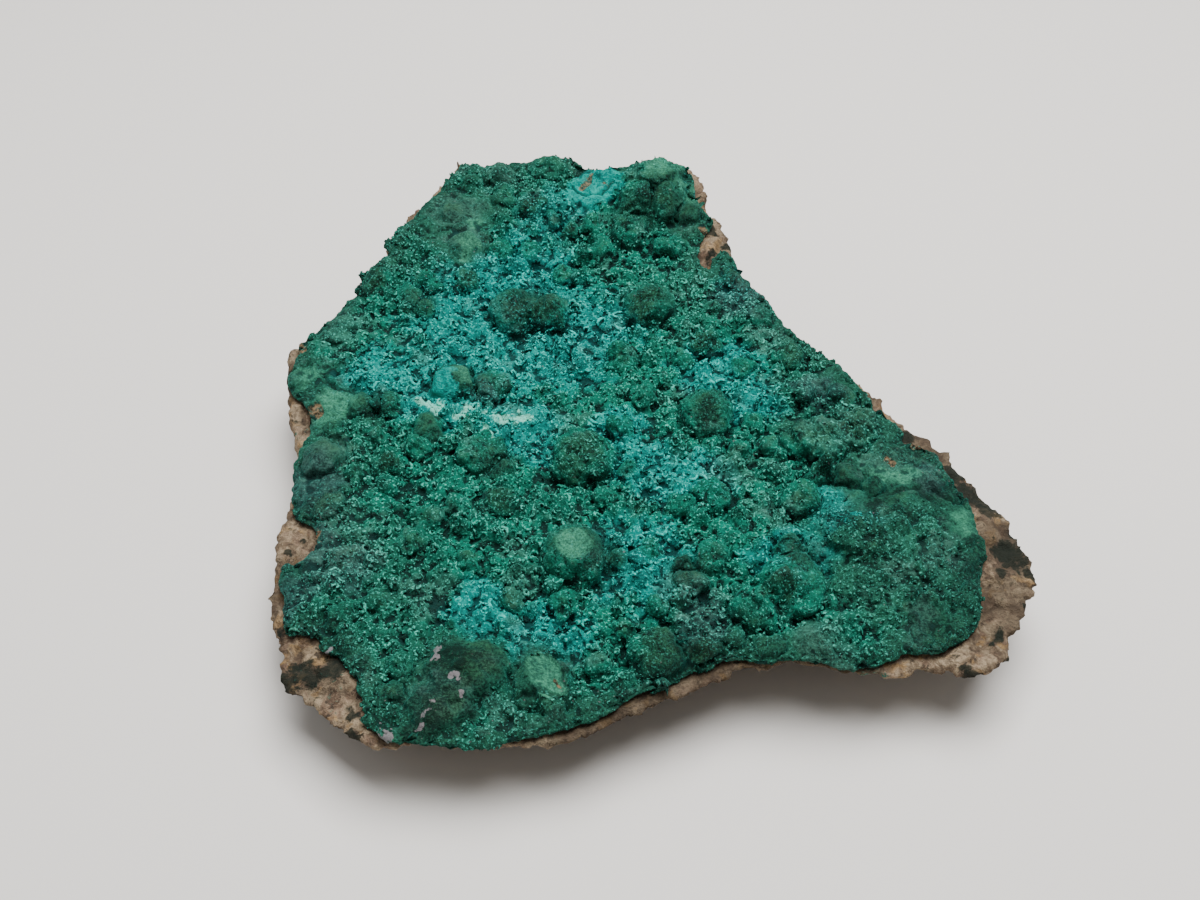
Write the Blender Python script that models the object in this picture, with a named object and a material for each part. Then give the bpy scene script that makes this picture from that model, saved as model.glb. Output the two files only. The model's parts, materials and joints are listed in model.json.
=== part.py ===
"""Malachite specimen: a broken plate of rock with a crust of malachite grown over its upper face.

Plan positions and heights are written in millimetres and turned into metres as vertices are made.
+X is to the right, +Y to the back, where the plate is narrow and thick, and +Z is up.
The plate rests on a natural parting on its underside, which lies on the plane z = 0.
"""
import math

import bmesh
import bpy
from mathutils import Vector, noise
from mathutils.geometry import delaunay_2d_cdt

MM = 0.001

# ---- Driving dimensions, in millimetres ---------------------------------------------------------
MIDDLE_HEIGHT = 22.0         # rock surface at the middle of the plate
BACKWARD_RISE = 0.058        # how fast that surface climbs towards the back
CRUST_THICKNESS = 2.3        # malachite over the rock, away from its edge
CRUST_EDGE_THICKNESS = 1.3   # malachite where it ends
CRUST_TAPER = 3.5            # distance over which it reaches its thickness
CRUST_GAP = 0.3              # clearance between the two solids
CRUST_ROUGHNESS = 0.7        # small unevenness of the crust between its lumps
FRONT_RIM_THICKNESS = 2.4    # broken edge of the rock at the front
BACK_RIM_THICKNESS = 13.0    # and at the back
RIM_DRAWN_IN = 1.6           # how far its lower line lies inside its upper line
RIM_BULGE = 0.3              # and how far it stands out between the two
UNDERCUT_SLOPE = 0.54        # how steeply the underside falls away behind that edge
CHIPPED_DEPTH = 1.1          # how deep the bare rock is broken into
COARSE_SPACING = 7.2         # vertices of plain surfaces
BARE_SPACING = 3.6           # vertices of bare rock on the upper face
CRUST_SPACING = 4.2          # vertices of the crust between its lumps
EDGE_SPACING = 3.4           # vertices along a broken edge

# Broad swells of the whole plate: middle, reach in X and Y, height.
SWELLS = [
    ((14, 84), (29, 21), 8.0),      # ridge along the back edge
    ((-24, 24), (29, 29), -4.0),    # shallow hollow left of the middle
    ((57, -43), (21, 17), 5.0),     # dome at the front right
    ((-10, -55), (29, 19), 3.0),    # hump at the front
    ((46, 2), (16, 22), 2.0),       # shoulder along the right edge
    ((-90, 0), (22, 90), -3.5),     # fall along the left edge
]

# The rock's broken outline seen from above, clockwise from its back left corner.
ROCK_OUTLINE = [
    (-51, 99.0), (-44, 93), (-38, 92), (-32, 94), (-26, 95), (-22, 95), (-17, 93), (-13, 88),
    (-8, 86), (-1, 84), (5, 84), (9, 85), (12, 83), (16, 82), (20, 78), (20, 72), (25, 66),
    (26, 61), (26, 56), (28, 50), (28, 45), (33, 40), (35, 35), (38, 26), (43, 19), (49, 12),
    (57, 4), (61, 2), (61, -2), (67, -10), (73, -14), (76, -15), (74, -19), (75, -22),
    (79, -28), (81, -33), (85, -38), (88, -44), (88, -48), (90, -55), (85, -61), (82, -67),
    (80, -70), (80, -75), (77, -77), (71, -79), (66, -77), (63, -78), (59, -77), (54, -80),
    (51, -79), (43, -79), (34, -77), (28, -78), (21, -79.5), (17, -82), (9, -86), (0, -89),
    (-7, -92), (-16, -95), (-28, -96.5), (-42, -95.5), (-52, -96), (-57, -96), (-65, -91),
    (-73, -84), (-77, -82), (-78, -76), (-81, -67), (-84, -56), (-83, -47), (-84, -38),
    (-82, -31), (-83, -22), (-83, -12), (-87, 1), (-87, 5), (-90, 12), (-90, 22), (-82, 27),
    (-77, 36), (-73, 43), (-73, 48), (-67, 55), (-68, 59), (-64, 67), (-64, 73), (-57, 80),
    (-55, 84), (-52, 92),
]

# The crust's outline, clockwise from the same corner. It hangs over the rock by about a millimetre
# where it reaches the edge, and stops short of it where the rock is chipped bare.
CRUST_OUTLINE = [
    (-50, 95), (-44, 94), (-38, 93), (-32, 95), (-26, 96), (-22, 96), (-17, 94), (-13, 89),
    (-8, 87), (-1, 85), (5, 85), (9, 86), (12, 84), (15, 82), (18, 77), (18, 71), (20, 68),
    (24, 65), (22, 62), (20, 59), (18, 55), (18, 51), (20, 48), (21, 52), (23, 56), (26, 55),
    (29, 50), (29, 45), (34, 40), (36, 35), (39, 26), (44, 19), (50, 12), (55, 6), (56, 1),
    (58, -1), (59, -4), (62, -6), (63, -8), (65, -12), (64, -15), (68, -16), (71, -17),
    (73, -20), (74, -28), (77, -35), (78, -41), (77, -45), (79, -47), (79, -51), (77, -53),
    (76, -57), (76, -61), (74, -68), (69, -73), (64, -76), (56, -76), (51, -79), (43, -81),
    (34, -79), (28, -80), (21, -79), (16, -80), (12, -82), (8, -84), (3, -86), (-5, -90),
    (-14, -94), (-24, -97), (-32, -99), (-42, -98), (-52, -98), (-57, -95), (-59, -92),
    (-60, -87), (-61, -84), (-63, -79), (-66, -76), (-70, -74), (-71, -71), (-75, -70),
    (-79, -70), (-80, -66), (-80, -60), (-82, -56), (-82, -52), (-81, -49), (-78, -49),
    (-76, -47), (-75, -44), (-76, -41), (-76, -39), (-79, -38), (-82, -35), (-83, -27),
    (-84, -18), (-83, -14), (-81, -8), (-82, -4), (-84, 2), (-87, 4), (-89, 8), (-90, 13),
    (-88, 17), (-88, 19), (-89, 22), (-84, 28), (-78, 37), (-74, 43), (-74, 49), (-68, 55),
    (-69, 60), (-65, 67), (-62, 70), (-61, 73), (-58, 78), (-55, 82), (-54, 87), (-52, 91),
]

# Lumps of malachite grown out of the crust: middle in plan, radius, height above the crust.
LUMPS = [
    # along the back edge
    ((5, 73), 9.2, 5.5), ((-1, 61), 4.7, 3.3), ((-9, 54), 3.3, 2.6), ((9, 55), 3.5, 2.7),
    ((-12, 64), 2.8, 2.0), ((-17, 63), 3.0, 2.0), ((-22, 67), 2.4, 1.8), ((-28, 73), 3.6, 2.4),
    ((-36, 76), 3.4, 2.2), ((-24, 88), 5.0, 2.4), ((-38, 87), 4.2, 2.0), ((15, 66), 3.6, 1.6),
    ((-46, 58), 4.1, 1.8), ((-28, 55), 3.3, 1.8), ((-37, 56), 3.6, 1.6), ((-19, 47), 3.2, 2.1),
    ((-50, 72), 4.6, 1.6), ((27, 43), 3.5, 1.5), ((-46, 84), 3.2, 1.4), ((12, 80), 3.0, 1.6),
    # behind the middle
    ((-32, 33), 6.1, 4.9), ((-23, 33), 5.5, 4.6), ((4, 33), 6.0, 5.1), ((-4, 15), 4.1, 3.7),
    ((18, 18), 3.6, 3.6), ((38, 12), 4.3, 2.6), ((-69, 43), 4.3, 2.8), ((-45, 43), 3.5, 2.9),
    ((-55, 43), 3.2, 2.4), ((-60, 37), 3.4, 2.6), ((-55, 33), 2.9, 2.2), ((21, 33), 2.4, 1.9),
    ((28, 22), 2.4, 1.6), ((32, 28), 3.4, 1.6), ((27, 10), 2.8, 2.0), ((11, 14), 3.0, 2.0),
    ((-46, 6), 5.0, 3.0), ((-36, 6), 4.5, 2.5), ((-76, 27), 3.9, 1.8), ((2, 1), 3.7, 2.1),
    # across the middle
    ((17, -6), 6.4, 4.0), ((28, -10), 2.9, 2.5), ((41, -1), 3.2, 2.7), ((50, -2), 3.2, 2.4),
    ((54, -10), 3.6, 2.7), ((24, -18), 2.9, 2.4), ((30, -17), 2.6, 2.2), ((-13, -21), 7.4, 5.2),
    ((-4, -10), 3.6, 2.7), ((-38, -19), 5.3, 3.0), ((-33, -34), 4.2, 2.8), ((-32, -24), 2.6, 1.9),
    ((-60, -23), 3.3, 3.1), ((-53, -17), 3.1, 2.6), ((-62, -14), 2.7, 2.1), ((-68, -2), 3.7, 2.4),
    ((-61, -2), 3.5, 2.2), ((-67, -24), 2.4, 1.9), ((-51, -10), 3.7, 2.3), ((-2, -24), 2.8, 2.1),
    ((-76, -19), 4.8, 2.4), ((-74, -9), 2.6, 1.6), ((44, -16), 6.0, 3.8), ((38, -16), 4.1, 2.4),
    ((51, -14), 4.8, 2.7), ((48, -28), 3.5, 2.2), ((54, -32), 3.0, 1.7), ((43, -26), 2.2, 2.2),
    ((67, -29), 4.7, 1.8), ((-43, -35), 2.8, 1.8), ((-48, -39), 3.0, 1.7), ((-72, -34), 3.5, 1.6),
    # towards the front
    ((-15, -53), 6.9, 6.5), ((37, -35), 4.4, 3.6), ((9, -36), 3.2, 2.4), ((17, -33), 4.2, 3.0),
    ((-7, -34), 3.0, 1.7), ((33, -49), 2.9, 2.4), ((16, -51), 4.0, 3.3), ((9, -54), 2.5, 2.1),
    ((11, -59), 3.3, 2.2), ((33, -59), 7.3, 3.4), ((30, -61), 2.6, 4.6), ((25, -65), 5.2, 4.2),
    ((49, -47), 6.3, 3.2), ((53, -64), 3.3, 1.8), ((73, -62), 3.7, 2.2), ((3, -65), 2.6, 2.4),
    ((-17, -65), 3.3, 2.4), ((-4, -71), 2.6, 1.9), ((-9, -80), 3.2, 2.1), ((3, -77), 6.0, 2.8),
    ((-52, -46), 3.2, 2.0), ((-38, -52), 3.4, 1.5), ((-29, -63), 2.8, 1.6), ((-58, -61), 3.3, 1.5),
    ((-66, -66), 3.1, 1.4), ((-5, -53), 2.9, 1.6), ((2, -50), 3.4, 1.6), ((12, -76), 3.9, 1.7),
    ((19, -73), 2.8, 1.6), ((38, -73), 4.7, 2.4), ((47, -69), 3.9, 2.1), ((27, -74), 3.2, 1.6),
    ((-52, -79), 2.8, 2.1), ((-53, -86), 2.9, 1.8), ((-21, -84), 5.9, 3.0), ((-38, -81), 9.5, 2.6),
    ((-43, -89), 6.3, 1.8), ((-66, -50), 3.6, 1.5), ((62, -56), 4.2, 1.6), ((66, -46), 3.8, 1.5),
]

# The pit in the bowl on the back edge: middle in plan, radius, depth.
PITS = [
    ((-13, 79), 6.0, 2.2),
    ((64, -69), 5.0, 1.6),
    ((48, -22), 4.0, 1.6),
]

# Rings of vertices that shape one lump: share of its radius, number of vertices.
LARGE_LUMP_RINGS = [(0.0, 1), (0.5, 6), (0.84, 10), (1.05, 12)]
SMALL_LUMP_RINGS = [(0.0, 1), (0.68, 6), (1.06, 7)]
LARGE_LUMP_RADIUS = 4.0
SMALLEST_VERTEX_STEP = 0.85


# ---- Heights ------------------------------------------------------------------------------------
def smooth_step(value):
    """Ease from 0 to 1 as the value goes from 0 to 1."""
    value = min(max(value, 0.0), 1.0)
    return value * value * (3.0 - 2.0 * value)


def unevenness(point, wavelength, layer=0.0):
    """Smooth noise from about -1 to 1 at a plan position."""
    return noise.noise(Vector((point[0] / wavelength, point[1] / wavelength, layer)))


def swell_height(point):
    """Height of the rock's upper face without its breaks."""
    height = MIDDLE_HEIGHT + BACKWARD_RISE * point[1]
    for middle, reach, rise in SWELLS:
        across = (point[0] - middle[0]) / reach[0]
        along = (point[1] - middle[1]) / reach[1]
        height += rise * math.exp(-across * across - along * along)
    return height


def lump_height(point):
    """Height that the lumps and pits add to the crust, each lump a dome with a steep foot."""
    height = 0.0
    for middle, radius, rise in LUMPS:
        distance = math.dist(point, middle) / radius
        if distance < 1.0:
            height = max(height, rise * math.sqrt(1.0 - distance * distance))
    for middle, radius, depth in PITS:
        distance = math.dist(point, middle) / radius
        if distance < 1.0:
            height -= depth * (1.0 - distance * distance)
    return height


def rock_top(point):
    """Upper face of the rock: the swells, chipped into where no crust covers them."""
    bare = smooth_step(-inside_depth(point, CRUST_EDGE) / 2.5)
    chips = 0.6 + 0.9 * unevenness(point, 9.0) + 0.8 * unevenness(point, 4.0, 3.0)
    return swell_height(point) - bare * CHIPPED_DEPTH * max(chips, 0.0)


def rim_bottom(point):
    """Lower line of the rock's broken edge."""
    backward = smooth_step((point[1] + 70.0) / 140.0)
    thickness = FRONT_RIM_THICKNESS + (BACK_RIM_THICKNESS - FRONT_RIM_THICKNESS) * backward
    thickness *= 1.0 + 0.35 * unevenness(point, 14.0, 5.0)
    return swell_height(point) - thickness


def rock_bottom(point):
    """Underside: it falls away behind the edge in steps and ends in the flat resting face."""
    depth = inside_depth(point, ROCK_EDGE)
    ledges = 1.6 * unevenness(point, 22.0, 7.0) + 1.2 * unevenness(point, 9.0, 9.0)
    height = rim_bottom(point) - UNDERCUT_SLOPE * depth + ledges * smooth_step(depth / 6.0)
    return max(height, 0.0)


def crust_bottom(point):
    """Face of the crust that lies on the rock."""
    return swell_height(point) + CRUST_GAP


def crust_top(point):
    """Upper face of the crust with its lumps."""
    inward = smooth_step(inside_depth(point, CRUST_EDGE) / CRUST_TAPER)
    thickness = CRUST_EDGE_THICKNESS + (CRUST_THICKNESS - CRUST_EDGE_THICKNESS) * inward
    roughness = unevenness(point, 7.0, 11.0) + 0.6 * unevenness(point, 3.5, 13.0)
    relief = lump_height(point) * smooth_step(0.25 + inward) + CRUST_ROUGHNESS * roughness
    return crust_bottom(point) + max(thickness + relief, 0.8)


# ---- Plan geometry ------------------------------------------------------------------------------
def broken_edge(outline, wobble, layer):
    """Split an outline into short runs and shift the new vertices a little, as rock breaks."""
    edge = []
    for start, end in zip(outline, outline[1:] + outline[:1]):
        runs = max(1, round(math.dist(start, end) / EDGE_SPACING))
        for run in range(runs):
            share = run / runs
            x = start[0] + (end[0] - start[0]) * share
            y = start[1] + (end[1] - start[1]) * share
            x += wobble * unevenness((x, y), 5.0, layer)
            y += wobble * unevenness((x, y), 5.0, layer + 2.0)
            edge.append((x, y))
    return edge


def drawn_in(edge, distance, wobble, layer):
    """Move each vertex of an edge inwards, by a distance that varies along it."""
    moved = []
    for here, point in enumerate(edge):
        before = Vector(edge[here - 3])
        after = Vector(edge[(here + 3) % len(edge)])
        along = (after - before).normalized()
        inwards = Vector((-along.y, along.x))
        step = distance + wobble * unevenness(point, 6.0, layer)
        moved.append(tuple(Vector(point) + inwards * step))
    return moved


def inside_depth(point, edge):
    """Distance from a point to the edge, negative outside it."""
    nearest = math.inf
    inside = False
    x, y = point
    for (ax, ay), (bx, by) in zip(edge, edge[1:] + edge[:1]):
        run_x = bx - ax
        run_y = by - ay
        share = ((x - ax) * run_x + (y - ay) * run_y) / (run_x * run_x + run_y * run_y)
        share = min(max(share, 0.0), 1.0)
        nearest = min(nearest, math.hypot(ax + run_x * share - x, ay + run_y * share - y))
        if (ay > y) != (by > y) and x < ax + run_x * (y - ay) / run_y:
            inside = not inside
    return nearest if inside else -nearest


def lattice(edge, spacing, margin, keep=lambda point: True):
    """Points of a slightly shifted triangular lattice that lie inside an edge."""
    points = []
    row_step = spacing * math.sqrt(0.75)
    rows = math.ceil(110.0 / row_step)
    columns = math.ceil(110.0 / spacing)
    for row in range(-rows, rows + 1):
        for column in range(-columns, columns + 1):
            x = (column + 0.5 * (row % 2)) * spacing
            y = row * row_step
            x += 0.22 * spacing * unevenness((x, y), 2.3, 17.0)
            y += 0.22 * spacing * unevenness((x, y), 2.3, 19.0)
            if inside_depth((x, y), edge) > margin and keep((x, y)):
                points.append((x, y))
    return points


def lump_vertices(edge):
    """Vertices at the top, the flank and the foot of each lump, largest lumps first."""
    points = []
    for middle, radius, _ in sorted(LUMPS, key=lambda lump: -lump[2]):
        for share, count in LARGE_LUMP_RINGS if radius > LARGE_LUMP_RADIUS else SMALL_LUMP_RINGS:
            for step in range(count):
                angle = math.tau * (step + share) / count
                x = middle[0] + radius * share * math.cos(angle)
                y = middle[1] + radius * share * math.sin(angle)
                crowded = any(math.dist((x, y), other) < SMALLEST_VERTEX_STEP for other in points)
                if not crowded and inside_depth((x, y), edge) > 1.2:
                    points.append((x, y))
    return points


def triangles_inside(edge, points):
    """Triangles that join the edge's vertices and the points, in that order."""
    corners = [Vector(corner[:2]) for corner in edge + points]
    loop = list(range(len(edge)))
    result = delaunay_2d_cdt(corners, [], [loop], 1, 1e-5)
    positions = result[0]
    triangles = result[2]
    origins = [sources[0] for sources in result[3]]
    if len(positions) != len(corners):
        raise ValueError("two points of the outline or of the lattice fall together")
    return [[origins[corner] for corner in triangle] for triangle in triangles]


# ---- Solids -------------------------------------------------------------------------------------
def ring(edge, height):
    """The vertices of an edge at the heights that a function gives."""
    return [(x, y, height((x, y))) for x, y in edge]


def plate_body(name, rings, top_points, bottom_points):
    """A closed plate: two faces with relief, joined by a wall through rings of vertices.

    The first ring borders the upper face and the last one the lower face.
    """
    body = bmesh.new()

    def vertices(points):
        return [body.verts.new(Vector(point) * MM) for point in points]

    loops = [vertices(points) for points in rings]
    upper = loops[0] + vertices(top_points)
    lower = loops[-1] + vertices(bottom_points)
    for triangle in triangles_inside(rings[0], top_points):
        body.faces.new([upper[corner] for corner in triangle])
    for triangle in triangles_inside(rings[-1], bottom_points):
        body.faces.new([lower[corner] for corner in reversed(triangle)])
    for above, below in zip(loops, loops[1:]):
        for here in range(len(above)):
            after = (here + 1) % len(above)
            body.faces.new([above[here], below[here], below[after], above[after]])
    bmesh.ops.triangulate(body, faces=body.faces[:])
    bmesh.ops.recalc_face_normals(body, faces=body.faces[:])
    mesh = bpy.data.meshes.new(name)
    body.to_mesh(mesh)
    body.free()
    return bpy.data.objects.new(name, mesh)


def material(name, colour, roughness):
    """A plain Principled material."""
    result = bpy.data.materials.new(name)
    result.use_nodes = True
    shader = result.node_tree.nodes["Principled BSDF"]
    shader.inputs["Base Color"].default_value = (*colour, 1.0)
    shader.inputs["Roughness"].default_value = roughness
    shader.inputs["Metallic"].default_value = 0.0
    result.diffuse_color = (*colour, 1.0)
    return result


def rock_matrix():
    """The broken plate of brown rock that carries the crust."""
    def bare(point):
        return inside_depth(point, CRUST_EDGE) < -0.8

    def rim_middle(point):
        return 0.5 * (swell_height(point) + rim_bottom(point))

    covered = lattice(ROCK_EDGE, COARSE_SPACING, 2.0, lambda point: not bare(point))
    chipped = lattice(ROCK_EDGE, BARE_SPACING, 1.6, bare)
    lower_edge = drawn_in(ROCK_EDGE, RIM_DRAWN_IN, 0.9, 23.0)
    rings = [
        ring(ROCK_EDGE, rock_top),
        ring(drawn_in(ROCK_EDGE, -RIM_BULGE, 0.6, 25.0), rim_middle),
        ring(lower_edge, rim_bottom),
    ]
    underside = ring(lattice(lower_edge, COARSE_SPACING, 2.4), rock_bottom)
    rock = plate_body("rock_matrix", rings, ring(covered + chipped, rock_top), underside)
    rock.data.materials.append(material("brown rock", (0.36, 0.25, 0.17), 0.85))
    return rock


def malachite_crust():
    """The green crust with the lumps that it grew, one body."""
    lumps = lump_vertices(CRUST_EDGE)

    def between_lumps(point):
        return all(math.dist(point, other) > 0.6 * CRUST_SPACING for other in lumps)

    spread = lattice(CRUST_EDGE, CRUST_SPACING, 1.8, between_lumps)
    rings = [
        ring(drawn_in(CRUST_EDGE, 0.5, 0.3, 27.0), crust_top),
        ring(CRUST_EDGE, crust_bottom),
    ]
    underside = ring(lattice(CRUST_EDGE, COARSE_SPACING, 2.0), crust_bottom)
    crust = plate_body("malachite_crust", rings, ring(lumps + spread, crust_top), underside)
    crust.data.materials.append(material("green malachite", (0.02, 0.19, 0.13), 0.7))
    return crust


ROCK_EDGE = broken_edge(ROCK_OUTLINE[::-1], 0.8, 21.0)
CRUST_EDGE = broken_edge(CRUST_OUTLINE[::-1], 0.8, 21.0)


def main():
    """Build the specimen in a collection of its own."""
    for item in list(bpy.data.objects):
        bpy.data.objects.remove(item)
    specimen = bpy.data.collections.new("malachite specimen")
    bpy.context.scene.collection.children.link(specimen)
    specimen.objects.link(rock_matrix())
    specimen.objects.link(malachite_crust())


main()
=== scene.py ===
"""Malachite specimen: the finish of the rock, its green crust and the grains that stand on it.

Sizes and places are in millimetres. Places on the specimen are written as (x, y, radius), seen
from above.
"""
import json
import math

import bpy
import numpy as np
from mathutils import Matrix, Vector, noise
from mathutils.bvhtree import BVHTree
from mathutils.kdtree import KDTree

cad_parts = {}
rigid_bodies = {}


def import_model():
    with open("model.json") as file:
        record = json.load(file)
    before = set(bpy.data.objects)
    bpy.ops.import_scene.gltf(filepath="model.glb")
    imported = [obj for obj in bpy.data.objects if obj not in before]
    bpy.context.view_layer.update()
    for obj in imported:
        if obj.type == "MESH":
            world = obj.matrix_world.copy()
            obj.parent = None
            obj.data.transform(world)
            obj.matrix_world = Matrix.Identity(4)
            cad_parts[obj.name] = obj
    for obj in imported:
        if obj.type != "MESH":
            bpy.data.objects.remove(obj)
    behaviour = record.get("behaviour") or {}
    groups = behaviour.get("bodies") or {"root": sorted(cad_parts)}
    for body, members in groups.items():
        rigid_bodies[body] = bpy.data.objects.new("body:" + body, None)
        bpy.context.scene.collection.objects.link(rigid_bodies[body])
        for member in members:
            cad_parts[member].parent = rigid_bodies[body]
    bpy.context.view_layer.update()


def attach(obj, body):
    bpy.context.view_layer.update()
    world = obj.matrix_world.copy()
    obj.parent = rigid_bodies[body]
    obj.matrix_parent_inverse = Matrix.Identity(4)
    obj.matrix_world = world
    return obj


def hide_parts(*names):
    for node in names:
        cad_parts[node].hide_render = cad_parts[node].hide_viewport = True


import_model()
MM = 0.001

# ---- Sizes --------------------------------------------------------------------------------------
SKIN_STEP = 0.42             # distance between vertices of the crust's skin
ROCK_STEP = 0.85             # and of the rock
GRAIN_RADIUS = 0.56          # middle size of a grain
GRAIN_SPACING = 0.98         # least distance between two grains
GRAIN_DENSITY = 1.7          # most grains on a square millimetre
HIDDEN_SHARE = 0.06          # share of faces kept where two pieces lie on each other
MERGE_DISTANCE = 0.01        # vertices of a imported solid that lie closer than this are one
RIM_REACH = 7.0              # how far in from its edge the crust is darker, duller and less granular
RESTING_HEIGHT = 0.15        # the rock's resting face lies below this
COVER_HEIGHT = 8.0           # how far above the rock the crust is looked for

# Depths, front to back, where the green pieces are parted.
GRAIN_BANDS = (-200, -58, -30, 8, 200)
SKIN_CUT = -14.0

# Lumps: how far their outlines wander from round, how far flanks are pushed out and tops raised,
# as shares of radius and height, the groove about their feet, and where tops are pressed down.
LUMP_UNEVENNESS = 0.45
LUMP_PUSH = 0.18
LUMP_RISE = 0.42
GROOVE_DEPTH = 1.3
HIGHEST_LUMP = 39.9

# Grains: kinds of bead and of curl, and half of what each kind of curl turns, in radians.
GRAIN_KINDS = 3
CURL_BENDS = (1.9, 2.7, -1.4)

# The bay in the front edge: its middle, its reach each way, and how far it is drawn in.
BAY_MIDDLE = (20, -85)
BAY_REACH = (26, 10)
BAY_DRAW = 2.6

# ---- Camera and light ---------------------------------------------------------------------------
CAMERA_TARGET = (-9.2, -14.1, 20.0)
CAMERA_DISTANCE = 365.0
CAMERA_PITCH = 45.0
CAMERA_LENS = 45.0
CAMERA_CLIP = 10.0
ROOM_COLOUR = (1.0, 0.99, 0.97, 1)
ROOM_STRENGTH = 0.25
FLOOR_COLOUR = (0.79, 0.762, 0.725, 1)
FLOOR_SIZE = 3000.0

# Lamps: name, place and size in metres, power in watts.
LAMPS = [
    ("overhead", (0.10, 0.13, 0.81), 0.70, 15.6),
    ("fill", (-0.7, 0.2, 0.6), 0.6, 0.8),
]

# ---- Colours ------------------------------------------------------------------------------------
# Dark and light of each finish.
COLOURS = {
    "green": ((0.0, 0.014, 0.009, 1), (0.0, 0.255, 0.158, 1)),
    "turquoise": ((0.0, 0.018, 0.017, 1), (0.0, 0.430, 0.365, 1)),
    "muted": ((0.002, 0.017, 0.011, 1), (0.021, 0.132, 0.078, 1)),
    "slate": ((0.005, 0.018, 0.018, 1), (0.045, 0.135, 0.118, 1)),
    "dusty": ((0.010, 0.032, 0.027, 1), (0.100, 0.240, 0.185, 1)),
    "olive": ((0.004, 0.014, 0.007, 1), (0.042, 0.125, 0.052, 1)),
    "light green": ((0.012, 0.075, 0.048, 1), (0.085, 0.390, 0.225, 1)),
    "cyan": ((0.0, 0.090, 0.080, 1), (0.0, 0.480, 0.390, 1)),
    "bare": ((0.022, 0.013, 0.009, 1), (0.250, 0.150, 0.080, 1)),
    # The crystal colour is partly pale crystals and partly painted highlights.
    "crystal_and_highlight": ((0.090, 0.570, 0.430, 1), (0.055, 0.680, 0.580, 1)),
    # The gap colour is painted shade for the hollows between crests.
    "gap_shade": ((0.005, 0.034, 0.030, 1), (0.0, 0.115, 0.104, 1)),
    "rock": ((0.130, 0.090, 0.057, 1), (0.315, 0.240, 0.155, 1)),
    "dull rock": ((0.016, 0.013, 0.010, 1), (0.110, 0.078, 0.050, 1)),
    "green stain": ((0.002, 0.045, 0.034, 1), (0.010, 0.200, 0.150, 1)),
}
MINT = (0.240, 0.740, 0.580, 1)
# Painted shade for the creases.
PAINTED_CREASE_SHADE = (0.002, 0.014, 0.010, 1)
SPECK_GREY = (0.200, 0.180, 0.190, 1)
SKIN_SHEEN = (0.05, 0.80, 0.62, 1)
GRAIN_SHEEN = (0.05, 0.80, 0.64, 1)
PINK = (0.220, 0.130, 0.090, 1)
OCHRE = (0.330, 0.195, 0.070, 1)
ROCK_PIT_SHADE = (0.050, 0.034, 0.025, 1)
PALE_GRIT = (0.450, 0.370, 0.250, 1)
DARK_SPECK = (0.022, 0.018, 0.014, 1)
ROCK_CRACK_SHADE = (0.020, 0.014, 0.010, 1)
BLACK_COATING = (0.008, 0.013, 0.009, 1)

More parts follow.
